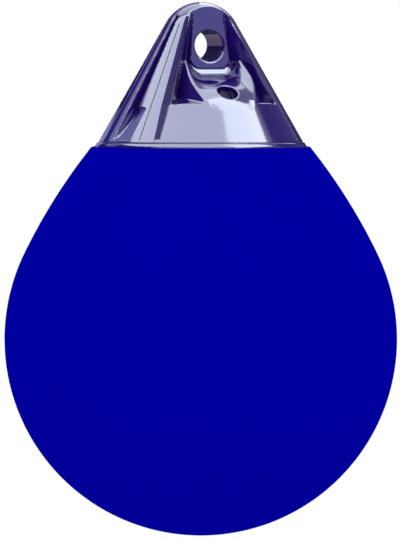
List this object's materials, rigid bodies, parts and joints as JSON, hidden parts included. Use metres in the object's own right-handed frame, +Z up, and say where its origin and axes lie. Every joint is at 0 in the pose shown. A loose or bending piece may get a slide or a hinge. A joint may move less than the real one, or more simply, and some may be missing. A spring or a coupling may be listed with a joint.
{
  "type": "round boat fender",
  "caption": "Inflated teardrop mooring fender with a moulded rope head, a rope eye through it and a recessed air valve.",
  "frame": {"origin": "centre of the rope eye's bore, on the head's middle plane", "axes": "+Z up along the fender's axis as it hangs, Y along the eye's bore, -Y the side with the air valve"},
  "size_m": [0.28, 0.28, 0.3802],
  "materials": {
    "bulb_vinyl": "satin inflated vinyl, strong blue",
    "head_vinyl": "glossy moulded vinyl, deep indigo",
    "valve_plastic": "hard moulded plastic, dark indigo",
    "washer_rubber": "matt black rubber",
    "plug_plastic": "hard moulded plastic, dark indigo"
  },
  "bodies": {
    "root": {"bulb": "bulb_vinyl", "rope_head": "head_vinyl", "valve_seat": "valve_plastic", "valve_washer": "washer_rubber", "valve_plug": "plug_plastic"}
  },
  "joints": []
}
